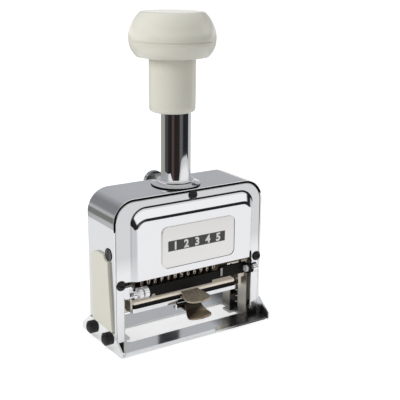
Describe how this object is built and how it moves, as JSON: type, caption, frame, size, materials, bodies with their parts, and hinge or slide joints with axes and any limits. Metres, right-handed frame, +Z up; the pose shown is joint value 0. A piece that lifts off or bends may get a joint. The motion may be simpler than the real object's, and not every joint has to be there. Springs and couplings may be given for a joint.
{
  "type": "numbering machine",
  "caption": "Desk numbering stamp: ivory plunger knob on a chromed housing, rotating number wheels and a self-swinging ink pad carrier.",
  "frame": {"origin": "centre of the base's footprint on the table", "axes": "+Z up along the plunger, -Y towards the front with the label, +X to the right seen from the front"},
  "size_m": [0.092, 0.0452, 0.1552],
  "materials": {
    "chrome": "polished",
    "ivory": "gloss",
    "cream": "satin",
    "label": "satin",
    "black_screw": "gloss",
    "black": "matte",
    "type_metal": "dark",
    "felt": "felt",
    "nickel": "satin",
    "brass": "satin",
    "steel": "satin"
  },
  "bodies": {
    "frame": {"shell": "chrome", "front_cover": "chrome", "rear_cover": "chrome", "label_plate": "label", "base_plate": "chrome", "side_cover": "cream", "shaft_collar": "chrome", "guide_plate_left": "nickel", "guide_plate_right": "nickel", "spring_rods": "steel", "cover_screws": "black_screw", "side_screws": "black_screw", "base_screws": "black_screw", "lock_housing": "chrome", "return_spring_left": "steel", "return_spring_right": "steel"},
    "plunger": {"knob_cap": "ivory", "knob_skirt": "ivory", "plunger_shaft": "chrome", "bridge": "steel", "cheeks": "steel", "wheel_axle": "steel", "axle_sleeves": "steel", "tie_rod": "steel", "guide_shoes": "nickel", "detent_comb": "steel", "pawl_rod": "steel"},
    "wheel_01_body": {"wheel_01": "type_metal"},
    "wheel_02_body": {"wheel_02": "type_metal"},
    "wheel_03_body": {"wheel_03": "type_metal"},
    "wheel_04_body": {"wheel_04": "type_metal"},
    "wheel_05_body": {"wheel_05": "type_metal"},
    "wheel_06_body": {"wheel_06": "type_metal"},
    "wheel_07_body": {"wheel_07": "type_metal"},
    "wheel_08_body": {"wheel_08": "type_metal"},
    "wheel_09_body": {"wheel_09": "type_metal"},
    "wheel_10_body": {"wheel_10": "type_metal"},
    "wheel_11_body": {"wheel_11": "type_metal"},
    "wheel_12_body": {"wheel_12": "type_metal"},
    "repeat_dial_body": {"repeat_dial": "brass"},
    "feed_pawl_body": {"feed_pawl": "steel"},
    "ink_carrier": {"carrier_bar": "black", "carrier_arms": "nickel", "pivot_collar": "chrome", "pivot_screw": "chrome", "pointer": "steel"},
    "ink_tray_body": {"ink_tray": "chrome", "felt_holder": "black", "ink_felt": "felt", "tab_upper": "nickel", "tab_pin": "steel"},
    "tab_lower_body": {"tab_lower": "nickel"},
    "lock": {"lock_button": "chrome", "lock_pin": "steel"}
  },
  "joints": [
    {"name": "plunger_press", "type": "slide", "parent": "frame", "child": "plunger", "axis": [0, 0, -1], "range_m": [0, 0.021], "stiffness_N_per_m": 300, "springref_m": -0.02, "deforming": ["return_spring_left", "return_spring_right"]},
    {"name": "carrier_swing", "type": "hinge", "parent": "frame", "child": "ink_carrier", "pos_m": [0, -0.0132, 0.0271], "axis": [-1, 0, 0], "range_deg": [0, 96]},
    {"name": "feed_pawl_rock", "type": "hinge", "parent": "plunger", "child": "feed_pawl_body", "pos_m": [0, 0.0084, 0.0366], "axis": [1, 0, 0], "range_deg": [0, 8]},
    {"name": "wheel_01_turn", "type": "hinge", "parent": "plunger", "child": "wheel_01_body", "pos_m": [0, 0, 0.03], "axis": [1, 0, 0], "continuous": true},
    {"name": "wheel_02_turn", "type": "hinge", "parent": "plunger", "child": "wheel_02_body", "pos_m": [0, 0, 0.03], "axis": [1, 0, 0], "continuous": true},
    {"name": "wheel_03_turn", "type": "hinge", "parent": "plunger", "child": "wheel_03_body", "pos_m": [0, 0, 0.03], "axis": [1, 0, 0], "continuous": true},
    {"name": "wheel_04_turn", "type": "hinge", "parent": "plunger", "child": "wheel_04_body", "pos_m": [0, 0, 0.03], "axis": [1, 0, 0], "continuous": true},
    {"name": "wheel_05_turn", "type": "hinge", "parent": "plunger", "child": "wheel_05_body", "pos_m": [0, 0, 0.03], "axis": [1, 0, 0], "continuous": true},
    {"name": "wheel_06_turn", "type": "hinge", "parent": "plunger", "child": "wheel_06_body", "pos_m": [0, 0, 0.03], "axis": [1, 0, 0], "continuous": true},
    {"name": "wheel_07_turn", "type": "hinge", "parent": "plunger", "child": "wheel_07_body", "pos_m": [0, 0, 0.03], "axis": [1, 0, 0], "continuous": true},
    {"name": "wheel_08_turn", "type": "hinge", "parent": "plunger", "child": "wheel_08_body", "pos_m": [0, 0, 0.03], "axis": [1, 0, 0], "continuous": true},
    {"name": "wheel_09_turn", "type": "hinge", "parent": "plunger", "child": "wheel_09_body", "pos_m": [0, 0, 0.03], "axis": [1, 0, 0], "continuous": true},
    {"name": "wheel_10_turn", "type": "hinge", "parent": "plunger", "child": "wheel_10_body", "pos_m": [0, 0, 0.03], "axis": [1, 0, 0], "continuous": true},
    {"name": "wheel_11_turn", "type": "hinge", "parent": "plunger", "child": "wheel_11_body", "pos_m": [0, 0, 0.03], "axis": [1, 0, 0], "continuous": true},
    {"name": "wheel_12_turn", "type": "hinge", "parent": "plunger", "child": "wheel_12_body", "pos_m": [0, 0, 0.03], "axis": [1, 0, 0], "continuous": true},
    {"name": "repeat_dial_turn", "type": "hinge", "parent": "plunger", "child": "repeat_dial_body", "pos_m": [0, 0, 0.03], "axis": [1, 0, 0], "continuous": true},
    {"name": "tray_pull", "type": "slide", "parent": "ink_carrier", "child": "ink_tray_body", "axis": [0, -1, 0], "range_m": [0, 0.012]},
    {"name": "tab_squeeze", "type": "hinge", "parent": "ink_tray_body", "child": "tab_lower_body", "pos_m": [0.002, -0.0072, 0.0129], "axis": [-1, 0, 0], "range_deg": [0, 12], "stiffness_Nm_per_rad": 0.01, "springref_deg": -8.59},
    {"name": "lock_press", "type": "slide", "parent": "frame", "child": "lock", "axis": [0, -1, 0], "range_m": [0, 0.003], "stiffness_N_per_m": 200, "springref_m": -0.005}
  ],
  "couplings": [
    {"joint": "carrier_swing", "follows": "plunger_press", "rad_per_m": 79.78},
    {"joint": "feed_pawl_rock", "follows": "plunger_press", "rad_per_m": 6.64}
  ]
}
